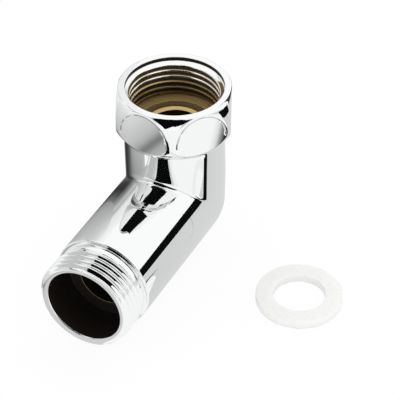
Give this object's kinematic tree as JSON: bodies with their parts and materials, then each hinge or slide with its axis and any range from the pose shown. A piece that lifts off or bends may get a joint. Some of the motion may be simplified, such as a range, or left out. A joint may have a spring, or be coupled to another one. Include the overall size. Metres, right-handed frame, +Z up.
{
  "type": "towel rail angle connector",
  "caption": "Chrome-plated brass elbow that joins a heated towel rail to its wall outlet, with a threaded socket in a hexagon collar, a male wall thread and a flat sealing washer beside it.",
  "frame": {"origin": "where the centre lines of the rail socket and of the tube cross, the point that a pipe run is set out from", "axes": "+Z up out of the rail socket, -Y along the tube and out of the wall thread, +X to the right seen from the wall end"},
  "size_m": [0.0916, 0.087, 0.0639],
  "materials": {
    "chrome_plated_brass": "polished chrome plate over brass, bare brass deep in the socket",
    "white_washer": "moulded, slightly translucent white"
  },
  "bodies": {
    "root": {"elbow_body": "chrome_plated_brass", "sealing_washer": "white_washer"}
  },
  "joints": []
}
